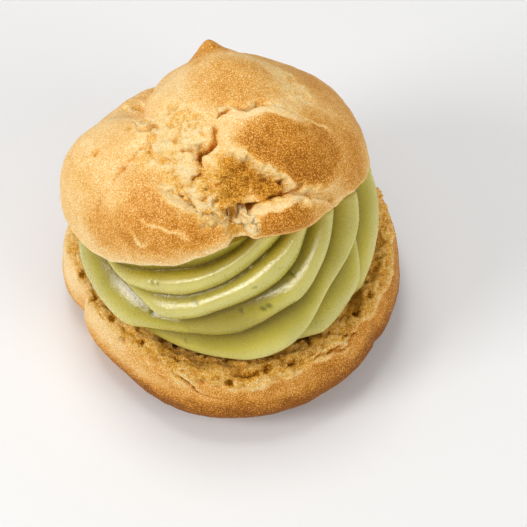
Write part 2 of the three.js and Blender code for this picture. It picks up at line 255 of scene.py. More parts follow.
# Latitudes where the swirl ends, and between which it takes on its full shape
SWIRL_FOOT = -27
SWIRL_TOP = 75
SWIRL_START = (SWIRL_FOOT + 2, SWIRL_FOOT + 14)
FOOT_REACH = 34.2
FOOT_DIP = {"azimuth": 262, "spread": 36, "depth": 2.6}
RIDGE_AT_FOOT = 0.4
# Streaks that the nozzle left along the strands: how many across one, and how long in degrees
STREAKS = 5
STREAK_LENGTH = 30
STREAK_GRAIN = (0.16, 1, 2)
# The grooves between strands: azimuth and latitude along each
GROOVES = [
    [(70, 0), (90, 8), (120, 12), (150, 12), (180, 8), (200, 5), (213, 4.5), (220, 8.3), (230, 15.2),
     (240, 20.4), (249, 24.8), (259, 28.7), (268, 33.2), (278, 38.2), (284, 41.4), (292, 47), (305, 60)],
    [(60, -27), (90, -12), (120, -3), (150, 1), (180, 1.5), (203, 0.5), (213, 1.2), (221, 1.6), (227, 2.5),
     (233, 5.5), (242, 9), (251, 12), (260, 16.4), (268, 20.6), (277, 25.3), (288, 31.1), (300, 36),
     (312, 43), (330, 60)],
    [(95, -27), (130, -17), (165, -8), (190, -3), (205, -1), (215, 0), (221, 0.5), (227, 0.4), (233, -0.8),
     (238, -1.9), (243, -3), (247, -2.8), (252, -1), (260, 2.9), (268, 7.9), (276, 11.4), (285, 14.1),
     (295, 17.3), (304, 21.2), (310, 26), (318, 33.1), (330, 45), (345, 60)],
    [(222, -29), (229, -25.5), (236, -19.2), (242, -16.6), (251, -12.9), (260, -10.1), (268, -9.2),
     (273, -8.3), (280, -4.6), (288, -0.5), (293, 2), (301, 3.6), (305, 5.4), (310, 8.6), (317, 12.8),
     (324, 18.7), (332, 25.2), (345, 40), (362, 60)],
    [(275, -28), (285, -23), (293, -19.5), (299, -16.5), (304, -12), (308, -6.5), (313, -1.2), (319, 2.2),
     (325, 4.4), (331, 7.2), (337, 10.8), (343, 14.3), (350, 18.5), (362, 30), (380, 60)],
    [(318, -27), (327, -19), (333, -9), (337, 0), (341, 5.5), (347, 9), (352, 11.8), (357, 14.5), (365, 22),
     (378, 40), (392, 60)],
    [(335, -27), (352, -17), (365, -3), (378, 15), (392, 35), (408, 52), (416, 60)],
    [(362, -27), (382, -16), (398, -1), (414, 18), (430, 37), (448, 53), (455, 60)],
    [(390, -27), (412, -15), (430, 0), (448, 19), (466, 38), (484, 53), (492, 60)],
]
GROOVE_SMOOTHING = 7
# The strand under a groove has its crest near its upper edge for a lean below 1, else near its lower edge:
# azimuth, lean and share of the full height along each of the first few; the others are even
EVEN_STRAND = [(0, 1, 1)]
STRAND_SHAPES = [
    [(0, 0.7, 1)],
    [(0, 0.62, 1)],
    [(228, 0.8, 0.9), (247, 0.75, 0.65), (264, 1.2, 0.4), (282, 1, 0.5), (300, 0.7, 1)],
    [(0, 1.3, 1)],
]
STRAND_SHAPES += [EVEN_STRAND] * (len(GROOVES) - len(STRAND_SHAPES))
# A weak crease inside one strand
CREAM_CREASE = {
    "depth": 1.2, "width": 1.2, "edge": (0.3, -0.1),
    "route": [(246, -2.8), (251, -1.8), (254, -2.8), (257, -4.8), (261, -7.6)],
}
# Bubbles and dark flecks in the cream: azimuth, latitude, size, depth and darkness
CREAM_SPOTS = [
    (239.4, 16.5, 0.6, 0.35, 0.5), (241.8, 17.7, 0.5, 0.3, 0.5), (257.9, 13.9, 1.0, 0.25, 0.4),
    (282.7, 22.3, 0.5, 0.2, 0.7), (288, 10.4, 0.9, 0.25, 0.8), (285.6, 9.5, 1.0, 0.25, 0.8),
    (277.1, 8.8, 0.7, 0.25, 0.9), (300.7, 19.2, 0.5, 0.2, 0.7), (254.1, -14.8, 0.6, 0.2, 0.7),
    (239.8, -3.1, 0.9, 0.5, 0.8),
]
SPOT_WALL = (1, 0.4)
SPOT_WANDER = (0.25, 0.8, 2)

# Relief of the crust: smooth skin, and torn crumb with its hollows and pits
SKIN_WAVE = (0.3, 9, 3)
SKIN_GRAIN = (0.07, 1.7, 2)
CRUMB_GRAIN = (0.46, 1.2, 4)
CRUMB_HOLLOW = {"depth": 1.1, "lumps": (1, 4.2, 3), "levels": (0.02, -0.35), "shade": 0.75}
CRUMB_PIT_SIZE = 2.2
CRUMB_PIT = {"depth": 1.2, "wall": (0.4, 0.15), "groups": (1, 3 * CRUMB_PIT_SIZE, 2), "levels": (-0.15, 0.2)}
# Shakes that make lines and edges ragged: over which distance, by how much, and with which seed,
# which for the pits is the caller's
CRUMB_PIT_SHAKE = (1.2, 0.4)
BASE_LINE_SHAKES = [(1.1, 0.45, 9)]
BASE_CRUMB_SHAKES = [(1.7, 0.5, 11)]
CAP_BEND_SHAKES = [(4.5, 0.9, 21)]
CAP_LINE_SHAKES = [(2.1, 0.5, 22), (1.0, 0.18, 18)]
CAP_CRUMB_SHAKES = [(2.6, 0.8, 38), (1.3, 0.45, 39)]
FLAP_SHAKES = [(1.7, 1.4, 44)]

# Facets: columns round each piece, closer together at the front, and rows from top to bottom
COLUMNS = 480
FRONT_PACKING = 0.35
BASE_ROWS = {"bowl": 6, "inner": 56, "upper": 80, "lower": 50, "foot": 10}
CAP_ROWS = 204
# Shares of the cap's rows: those on its dome, and those over which its relief fades out at the lip
CAP_DOME_SHARE = 0.9
CAP_LIP_FADE = 0.04
# Rows of the cream from one latitude to the next, and those that close it below
CREAM_ROWS = [(90, 46, 14), (46, -28, 168), (-28, -55, 20)]
CREAM_LAST_ROWS = (-55, -90, 4)
PER_KNOT = 24

# Colours as seen, from 0 to 255; skin and crumb run evenly from pale through gold and brown to a crack's
# dark, which is painted shade
CRUST_STOPS = [(254, 228, 176), (246, 202, 130), (231, 171, 82), (206, 130, 28), (132, 74, 14)]
CRUMB_STOPS = [(255, 231, 178), (250, 205, 120), (236, 172, 62), (203, 139, 42), (132, 78, 12)]
# Cream colours: painted light on the crests, its own green, painted shade in the grooves, and its dark flecks
CREAM_CREST_LIGHT = (214, 204, 116)
CREAM_GREEN = (195, 180, 66)
CREAM_GROOVE_SHADE = (128, 108, 6)
CREAM_FLECK = (104, 98, 26)
FLOOR_COLOUR = (240, 240, 240)

# Noise in the shaders, as size, detail and roughness, with what it adds to the bake, and its bumps
NOISE_RANGE = (0.3, 0.7)
FULL_RANGE = (0, 1)
MOTTLE = {"noise": (2.4, 3), "bake_and_shade": (-0.06, 0.06), "bump": 0.3, "strength": (0.3, 0.6)}
SPECKLE = {"noise": (0.34, 2, 0.6), "bake_and_shade": (0.16, -0.17), "roughness": (0.75, 0.5), "bump": (0.16, 0.8)}
# Crumb is painted darker where its bump is low and paler where it is high, as painted shade and light
CRUMBS = {"noise": (0.9, 4, 0.75), "range": (0.36, 0.58), "bake_and_shade": (0.18, -0.14), "bump": 0.5}
PALE_DOTS = {"noise": (0.28, 1), "range": (0.52, 0.62), "bake_and_shade": (0.05, -0.32)}
# Torn crumb takes away the crust's shine and the light that goes through it
CRUST_SHINE = (0.12, 0)
CRUST_GLOW = (0.12, 0)
CRUST_SHADER = {"Subsurface Radius": (1.0, 0.7, 0.45), "Subsurface Scale": 1.0 * MM}
# The cream goes from painted shade in its grooves through green to painted light on its crests, with clouds
# and dust
GROOVE_SHADE_RANGE = (0.05, 0.6)
CREST_LIGHT_RANGE = (0.6, 1)
CLOUD = {"noise": (9, 2), "range": (0.35, 0.65), "shade": (0.93, 1.06)}
DUST = {"noise": (0.6, 1), "range": (0.66, 0.74), "strength": (0, 0.5)}
DUST_GROUPS = {"noise": (6, 1), "range": (0.45, 0.6)}
FINE = {"noise": (0.4, 2), "roughness": (0.22, 0.36), "bump": (0.08, 0.9)}
COARSE = {"noise": (2.5, 2), "bump": (0.2, 0.5)}
CREAM_SHADER = {
    "Specular IOR Level": 0.5, "Subsurface Weight": 0.2,
    "Subsurface Radius": (1.0, 1.0, 0.4), "Subsurface Scale": 1.5 * MM,
}
FLOOR_SHADER = {"Roughness": 0.8, "Specular IOR Level": 0.1}
# The sockets of a Mix node that carry colours
MIX_A = 6
MIX_B = 7
MIX_RESULT = 2

# Stage: a wide floor, even light from all round, and lamps aimed at the bun
FLOOR_HALF = 3000
WORLD_STRENGTH = 0.38
LIGHT_TARGET = np.array([0, 0, 30])
# Name, place, width, watts, and whether it lights matt surfaces or else only adds shine
LIGHTS = [
    ("key", (-620, -300, 540), 350, 3.0, True),
    ("top", (-100, 160, 800), 300, 2.1, True),
    ("fill", (520, -450, 480), 500, 1.8, True),
    ("sheen", (-500, -140, 800), 900, 26, False),
]

# Camera: where it looks from, and where the origin falls in the square picture
VIEW_ELEVATION = 57
VIEW_DISTANCE = 600
PICTURE = 527
PIXELS_PER_MM = 4.15
ORIGIN_PIXEL = (231, 291)
SENSOR = 36

noise.seed_set(NOISE_SEED)


# Numbers and vectors

def lerp(a, b, share):
    return a + (b - a) * share


def ease(low, high, value):
    """Rises smoothly from 0 at low to 1 at high"""
    share = np.clip((value - low) / (high - low), 0, 1)
    return share * share * (3 - 2 * share)


def within(distance, size, wall):
    """1 inside a size and 0 outside it, with a wall between two shares of it"""
    return ease(wall[0] * size, wall[1] * size, distance)


def turn_between(a, b):
    return (a - b + 180) % 360 - 180


def swell(distance, spread):
    return np.exp(-((distance / spread) ** 2))


def fold(distance, spread):
    return np.exp(-np.abs(distance) / spread)


def swell_at(azimuth, place):
    """How near azimuths are to a place that has an azimuth and a spread"""
    return swell(turn_between(azimuth, place["azimuth"]), place["spread"])


def fade_ends(along, cut=0):
    """Falls off towards both ends of a line, to nothing unless a share is cut off each end"""
    return np.sqrt(np.sin(np.pi * lerp(cut, 1 - cut, along)))


def soft_min(a, b, blend):
    share = np.clip(0.5 + (b - a) / (2 * blend), 0, 1)
    return lerp(b, a, share) - blend * share * (1 - share)


def unit(vectors):
    return vectors / np.linalg.norm(vectors, axis=-1, keepdims=True)


def aim(azimuth, polar):
    """Unit vectors at azimuths and angles from +Z"""
    turn, lean = np.broadcast_arrays(np.radians(azimuth), np.radians(polar))
    return np.stack([np.sin(lean) * np.cos(turn), np.sin(lean) * np.sin(turn), np.cos(lean)], -1)


def azimuth_of(points):
    return np.degrees(np.arctan2(points[..., 1], points[..., 0]))


def last_passing(low, high, test, shape):
    """The end of the stretch from low over which a test holds"""
    passes = np.full(shape, float(low))
    fails = np.full(shape, float(high))
    all_pass = test(fails)
    for _ in range(BISECTIONS):
        middle = (passes + fails) / 2
        holds = test(middle)
        passes = np.where(holds, middle, passes)
        fails = np.where(holds, fails, middle)
    return np.where(all_pass, high, passes)


def reach(start, direction, inside):
    """How far rays from a start stay inside a shape"""
    return last_passing(0, FAR, lambda far: inside(start + direction * far[..., None]), direction.shape[:-1])


# Noise

def noise_places(points, size, seed):
    return (points.reshape(-1, 3) / size + seed * SEED_STEP).tolist()


def grain(points, pattern, seed):
    """Fractal noise of about minus to plus the height of its pattern"""
    height, size, octaves = pattern
    values = [noise.fractal(place, *OCTAVE_STEPS, octaves) for place in noise_places(points, size, seed)]
    return height * np.array(values).reshape(points.shape[:-1])


def bubbles(points, size, seed):
    """How far each point is from the middle of the nearest of many scattered cells of a size"""
    values = [noise.voronoi(place)[0][0] for place in noise_places(points, size, seed)]
    return np.array(values).reshape(points.shape[:-1])


def shaken(points, shakes):
    """The points, each moved a little by one shake after another"""
    for size, amount, seed in shakes:
        moves = np.array([noise.noise_vector(place) for place in noise_places(points, size, seed)])
        points = points + amount * moves.reshape(points.shape)
    return points


# Lines on a surface

def smooth_line(knots):
    """A Catmull-Rom line through knots"""
    knots = np.asarray(knots, float)
    padded = np.concatenate([[2 * knots[0] - knots[1]], knots, [2 * knots[-1] - knots[-2]]])
    share = np.linspace(0, 1, PER_KNOT, endpoint=False)[:, None]
    pieces = []
    for a, b, c, d in zip(padded, padded[1:], padded[2:], padded[3:]):
        bend = share * (c - a) + share**2 * (2 * a - 5 * b + 4 * c - d) + share**3 * (3 * b - a - 3 * c + d)
        pieces.append(b + bend / 2)
    return np.concatenate(pieces + [knots[-1:]])


def near_line(points, line, normals):
    """Distance to a line, the share of it passed at the nearest place, and 1 on its left, -1 on its right"""
    flat = points.reshape(-1, 3)
    squares = (flat**2).sum(1)[:, None] + (line**2).sum(1) - 2 * flat @ line.T
    nearest = squares.argmin(1)
    offset = flat - line[nearest]
    left = np.cross(normals.reshape(-1, 3), np.gradient(line, axis=0)[nearest])
    side = np.sign((left * offset).sum(1))
    shape = points.shape[:-1]
    distance = np.linalg.norm(offset, axis=1)
    return distance.reshape(shape), (nearest / (len(line) - 1)).reshape(shape), side.reshape(shape)


def pit_at(points, middle, size, wall):
    """From 0 to 1 how far points lie in a round pit"""
    return within(np.linalg.norm(points - middle, axis=-1), size, wall)


# Objects and meshes

def add(name, data):
    """A new object of the scene"""
    made = bpy.data.objects.new(name, data)
    bpy.context.collection.objects.link(made)
    return made


def grid_normals(grid):
    """Outward normals of a grid of rings, rows by columns"""
    across = np.roll(grid, -1, axis=1) - np.roll(grid, 1, axis=1)
    down = np.gradient(grid, axis=0)
    normals = np.cross(down, across)
    length = np.linalg.norm(normals, axis=-1, keepdims=True)
    return normals / np.maximum(length, TINY)


def columns_round(count):
    """Azimuths of a number of columns, which stand closer together at the front"""
    even = np.arange(count) * 360 / count
    return even + np.degrees(FRONT_PACKING * np.cos(np.radians(even)))


def ringed_mesh(name, grid, marks):
    """A closed smooth surface of rings, with poles as its end rows, and marks kept at each point"""
    rows, columns = grid.shape[:2]

    def ring_values(values):
        inner = values[1:-1].reshape(-1, *values.shape[2:])
        return np.concatenate([values[:1, 0], inner, values[-1:, 0]])

    first = np.arange(columns)
    after = (first + 1) % columns
    last = (rows - 2) * columns + 1
    faces = [(0, 1 + a, 1 + b) for a, b in zip(first, after)]
    for upper in range(1, last - columns, columns):
        lower = upper + columns
        ring = np.stack([upper + first, lower + first, lower + after, upper + after], 1)
        faces.extend(ring.tolist())
    faces += [(last, last - columns + b, last - columns + a) for a, b in zip(first, after)]
    mesh = bpy.data.meshes.new(name)
    mesh.from_pydata((ring_values(grid) * MM).tolist(), [], faces)
    for mark, values in marks.items():
        layer = mesh.attributes.new(mark, "FLOAT", "POINT")
        layer.data.foreach_set("value", ring_values(values).astype(np.float32))
    mesh.shade_smooth()
    return add(name, mesh)


# Crust

def skin_relief(points, seed):
    return grain(points, SKIN_WAVE, seed) + grain(points, SKIN_GRAIN, seed + 1)


def crumb_relief(points, seed):
    """Torn crumb: its relief, and from 0 to 1 how far each point lies in a hollow or a pit, which is painted
    as shade
    """
    shaded_hollow = ease(*CRUMB_HOLLOW["levels"], grain(points, CRUMB_HOLLOW["lumps"], seed))
    cells = bubbles(shaken(points, [(*CRUMB_PIT_SHAKE, seed + 1)]), CRUMB_PIT_SIZE, seed + 2)
    pits = ease(*CRUMB_PIT["wall"], cells)
    pits = pits * ease(*CRUMB_PIT["levels"], grain(points, CRUMB_PIT["groups"], seed + 3))
    relief = grain(points, CRUMB_GRAIN, seed + 4)
    relief -= CRUMB_HOLLOW["depth"] * shaded_hollow + CRUMB_PIT["depth"] * pits
    return relief, np.maximum(CRUMB_HOLLOW["shade"] * shaded_hollow, pits)


# Base

def base_sizes(azimuth):
    """The base's belt, and its rim as it was cut and with its creases"""
    flat = sum(f["depth"] * swell_at(azimuth, f) for f in BASE_FLATS)
    folds = [fold(turn_between(azimuth, c["azimuth"]), c["spread"]) for c in BASE_CREASES]
    pinch = sum(c["depth"] * f for c, f in zip(BASE_CREASES, folds))
    dip = sum(c["dip"] * f for c, f in zip(BASE_CREASES, folds))
    wave = sum(w["height"] * np.cos(np.radians(w["count"] * azimuth + w["phase"])) for w in RIM_WAVES)
    belt = BELT_RADIUS - flat - pinch
    cut_radius = RIM_RADIUS - RIM_FLAT_SHARE * flat
    cut_height = RIM_HEIGHT + wave
    return belt, cut_radius, cut_height, cut_radius - RIM_CREASE_SHARE * pinch, cut_height - dip


def bowl_height(points):
    """Height of the bowl under points, if the rim had no creases"""
    _, cut_radius, cut_height, _, _ = base_sizes(azimuth_of(points))
    inward = np.clip((cut_radius - np.hypot(points[..., 0], points[..., 1])) / RIM_WIDTH, 0, 1)
    return lerp(BOWL_FLOOR, cut_height, np.sqrt(1 - inward**2))


def base_grid(azimuth):
    """The smooth base as a grid of rings, and the row that is the crest of its rim"""
    columns = len(azimuth)
    rows = {stretch: int(count * columns / COLUMNS) for stretch, count in BASE_ROWS.items()}
    belt, cut_radius, _, rim_radius, rim_height = base_sizes(azimuth)
    bowl_radius = cut_radius - RIM_WIDTH

    def quarter(steps):
        angle = (np.arange(steps) + 1)[:, None] / steps * np.pi / 2
        return np.sin(angle), np.cos(angle)

    inner_sin, inner_cos = quarter(rows["inner"])
    upper_sin, upper_cos = quarter(rows["upper"])
    lower_sin, lower_cos = quarter(rows["lower"])
    floor_share = np.linspace(0, 1, rows["bowl"] + 2)[:, None]
    foot_share = np.linspace(1, 0, rows["foot"] + 2)[1:, None]
    radius = np.concatenate([
        floor_share * bowl_radius,
        lerp(rim_radius, bowl_radius, inner_cos),
        lerp(rim_radius, belt, upper_sin),
        lerp(FOOT_RADIUS, belt, lower_cos),
        foot_share * FOOT_RADIUS * np.ones(columns),
    ])
    height = np.concatenate([
        np.full((len(floor_share), columns), float(BOWL_FLOOR)),
        lerp(BOWL_FLOOR, rim_height, inner_sin),
        lerp(BELT_HEIGHT, rim_height, upper_cos),
        lerp(BELT_HEIGHT, 0, lower_sin) * np.ones(columns),
        np.zeros((len(foot_share), columns)),
    ])
    turn = np.radians(azimuth)
    grid = np.stack([radius * np.cos(turn), radius * np.sin(turn), height], -1)
    return grid, len(floor_share) + len(inner_sin) - 1


def base_point(azimuth, radius, height):
    return np.array([radius * np.cos(np.radians(azimuth)), radius * np.sin(np.radians(azimuth)), height])


def make_base(columns):
    azimuth = columns_round(columns)
    grid, crest_row = base_grid(azimuth)
    normals = grid_normals(grid)
    height = grid[..., 2]

    # Torn crumb along the rim, by how far each point lies outside its crest, along the section
    steps = np.linalg.norm(np.diff(grid, axis=0), axis=-1)
    passed = np.concatenate([np.zeros((1, columns)), np.cumsum(steps, axis=0)])
    outside = passed - passed[crest_row]
    edge = TORN_REACH + TORN_FRONT["reach"] * swell_at(azimuth, TORN_FRONT)
    edge = edge + grain(grid, TORN_WANDER, seed=1)
    torn = ease(TORN_BLUR, -TORN_BLUR, outside - edge) * ease(*TORN_START, height)
    crumb, shaded_hollow = crumb_relief(grid, seed=2)
    relief = lerp(skin_relief(grid, seed=8), crumb + TORN_RISE, torn) * ease(*RELIEF_START, height)
    lip = swell(outside - edge, TORN_LIP_WIDTH)

    # Pits and cracks, painted dark inside as shade
    dark = np.zeros(torn.shape)
    ragged = shaken(grid, BASE_LINE_SHAKES)
    for at, pit_radius, pit_height, size, depth in RIM_PITS:
        pit = pit_at(ragged, base_point(at, pit_radius, pit_height), size, RIM_PIT_WALL)
        relief -= depth * pit
        dark = np.maximum(dark, pit)
    for route in BASE_CRACKS:
        line = smooth_line([base_point(*knot) for knot in route])
        distance, along, _ = near_line(ragged, line, normals)
        ends = fade_ends(along, BASE_CRACK["ends"])
        cut = ends * within(distance, BASE_CRACK["width"], BASE_CRACK["wall"])
        relief -= BASE_CRACK["depth"] * cut
        dark = np.maximum(dark, BASE_CRACK["dark"] * cut)
        lip = np.maximum(lip, BASE_CRACK_LIP["share"] * ends * swell(distance, BASE_CRACK_LIP["width"]))

    # The smooth heights go on giving the browning and the painted shade below
    grid = grid + normals * relief[..., None]
    grid = lerp(grid, shaken(grid, BASE_CRUMB_SHAKES), torn[..., None])
    grid[..., 2] = np.maximum(grid[..., 2], 0)

    # The left of the base is painted paler, as painted light where the lamps fall on it
    left = swell_at(azimuth, BASE_LIT_LEFT)
    skin_bake = BASE_SKIN["bake_and_shade"] - BASE_LIT_LEFT["skin"] * left + grain(grid, BASE_SKIN["wander"], seed=10)
    # Darker low down: partly browner baking, partly painted shade and reflection
    skin_bake = skin_bake + BASE_LOW["bake_and_shade"] * ease(*BASE_LOW["heights"], height)
    crumb_bake_and_shade = lerp(BASE_CRUMB["outer"], BASE_CRUMB["inner"], ease(*BASE_CRUMB["distances"], outside))
    crumb_bake_and_shade = crumb_bake_and_shade + BASE_CRUMB["shaded_hollow"] * shaded_hollow - BASE_LIT_LEFT["crumb"] * left
    bake_and_shade = lerp(skin_bake, crumb_bake_and_shade, torn)
    bake_and_shade = lerp(bake_and_shade, BASE_LIP["bake_and_shade"], BASE_LIP["share"] * lip * (1 - shaded_hollow))
    # Pits and cracks take the painted shade at the dark end of the scale
    return ringed_mesh("choux_base_crust", grid, {"bake_and_shade": lerp(bake_and_shade, 1, dark), "rough": torn})


# Cap

# Turns the cap's own frame, with its rim in the plane z = 0, to the way the cap leans
CAP_ROLLED = Matrix.Rotation(math.radians(-CAP_ROLL), 3, "Y")
CAP_TURN = np.array(CAP_ROLLED @ Matrix.Rotation(math.radians(-CAP_TILT), 3, "X"))
TEAR_AZIMUTHS = np.arange(0, 360 + TEAR_STEP, TEAR_STEP)
TEAR_HEIGHTS = grain(CAP_RADIUS * aim(TEAR_AZIMUTHS, 90), LIP_TEAR, seed=20)


def rim_share(points):
    return np.minimum((points[..., 0] ** 2 + points[..., 1] ** 2) / CAP_RADIUS**2, 1)


def underside_height(points):
    """Height of the cap's underside in its own frame, without its notch and its torn lip"""
    share = rim_share(points)
    azimuth = azimuth_of(points)
    hang = sum(h["drop"] * swell_at(azimuth, h) for h in RIM_HANGS)
    return CAP_HOLLOW * (1 - share) - hang * share


def above_underside(points):
    """Whether points are above the cap's underside, with its notch and its torn lip"""
    share = rim_share(points)
    azimuth = azimuth_of(points)
    tear = np.interp(azimuth % 360, TEAR_AZIMUTHS, TEAR_HEIGHTS)
    lift = swell_at(azimuth, NOTCH) * (NOTCH["lift"] + NOTCH_TEAR_SHARE * tear)
    lift = share**NOTCH_LIFT_POWER * lift + share**LIP_TEAR_POWER * tear
    return points[..., 2] > underside_height(points) + lift


def angle_from(spots, azimuth, polar):
    """Angles between spots of the unit sphere and a place on it"""
    return np.degrees(np.arccos(np.clip(spots @ aim(azimuth, polar), -1, 1)))


def patch_mask(spots, patches, edge, seed):
    """How strongly spots of the unit sphere lie in any of some round patches"""
    wandering = grain(CAP_RADIUS * spots, edge["wander"], seed)
    mask = 0
    for azimuth, polar, radius, strength in patches:
        away = angle_from(spots, azimuth, polar) + wandering
        mask = np.maximum(mask, strength * within(away, radius, edge["wall"]))
    return mask


def cap_line(route):
    return CAP_RADIUS * unit(smooth_line(aim(*np.array(route).T)))


def cap_rays(azimuth, share):
    """Directions from the cap's core to its dome, down to the lip, and then in across its underside"""
    def dome_point(polar):
        return aim(azimuth, polar) * CAP_SIZE

    lip = last_passing(*LIP_SEARCH, lambda polar: above_underside(dome_point(polar)), len(azimuth))
    down = np.minimum(share / CAP_DOME_SHARE, 1)
    inward = np.maximum(share - CAP_DOME_SHARE, 0) / (1 - CAP_DOME_SHARE)
    on_dome = dome_point(90 * down + (lip - 90) * down**3)
    return unit(lerp(on_dome, np.array([0, 0, CAP_HOLLOW]), inward[..., None]) - CAP_CORE)


def dome_distance(direction):
    """How far the smooth dome is from the cap's core in each direction"""
    steep = ((direction / CAP_SIZE) ** 2).sum(-1)
    slope = (direction * CAP_CORE / CAP_SIZE**2).sum(-1)
    inset = ((CAP_CORE / CAP_SIZE) ** 2).sum() - 1
    return (np.sqrt(slope**2 - steep * inset) - slope) / steep


def cap_forms(spots, bent, normals):
    """Relief of the lobes, the nipple and the valley of the dome"""
    relief = sum(height * swell(angle_from(spots, at, polar), spread) for at, polar, spread, height in LOBES)
    from_tip = angle_from(spots, NIPPLE["azimuth"], NIPPLE["polar"])
    point = fold(np.sqrt(from_tip**2 + NIPPLE["bluntness"]), NIPPLE["spread"])
    relief += NIPPLE["height"] * point * swell(from_tip, NIPPLE["reach"] * NIPPLE["spread"])
    distance, along, _ = near_line(bent, cap_line(VALLEY["route"]), normals)
    depth = lerp(VALLEY["depth"], VALLEY["end_depth"], ease(VALLEY["end_from"], 1, along))
    return relief - depth * swell(distance, VALLEY["width"])


def cap_edges(near):
    """Relief of the broken edges, how torn the crust is at their foot, and how pale there and on scratches"""
    relief = torn = pale = 0
    for height, band, route in STEPS:
        distance, along, side = near(route)
        ends = fade_ends(along, STEP["ends"])
        signed = side * distance
        rise = ease(*STEP["rise"], signed)
        sides = rise * fold(distance, STEP["high_reach"]) - (1 - rise) * fold(distance, STEP["low_reach"])
        relief = relief + height * ends * sides
        foot = ease(*STEP["torn_edge"], signed) * ease(*STEP["torn_reach"], distance)
        torn = np.maximum(torn, ends * foot)
        top = ease(*STEP["band_start"], signed) * ease(*(band + STEP["band_end"]), signed)
        pale = np.maximum(pale, ends * top)
    for route in PALE_LINES:
        distance, along, _ = near(route)
        line = PALE_LINE["strength"] * fade_ends(along) * swell(distance, PALE_LINE["width"])
        pale = np.maximum(pale, line)
    return relief, torn, pale


def cap_cracks(near, ball):
    """How deep the cracks and the seam are, and how dark they are painted as shade inside them"""
    deep = dark = 0
    uneven = 1 + grain(ball, CRACK["wander"], seed=33)
    for depth, width, left_over, route in CRACKS:
        distance, along, _ = near(route)
        ends = fade_ends(along, CRACK["ends"]) * lerp(1, left_over, ease(*CRACK["fade"], along))
        narrow = width * uneven * lerp(CRACK["end_width"], 1, ends)
        cut = ends * within(distance, narrow, CRACK["wall"])
        sag = CRACK_SAG["share"] * ends * swell(distance, CRACK_SAG["width"] * width)
        deep = deep + depth * (cut + sag)
        dark = np.maximum(dark, cut)
    distance, along, _ = near(SEAM["route"])
    dots = ease(*SEAM["dot_levels"], grain(ball, SEAM["dots"], seed=34)) * fade_ends(along)
    cut = dots * within(distance, SEAM["width"], SEAM["wall"])
    dip = SEAM["dip"] * np.sin(np.pi * along) * swell(distance, SEAM["dip_width"])
    return deep + SEAM["depth"] * cut + dip, np.maximum(dark, SEAM["dark"] * cut)


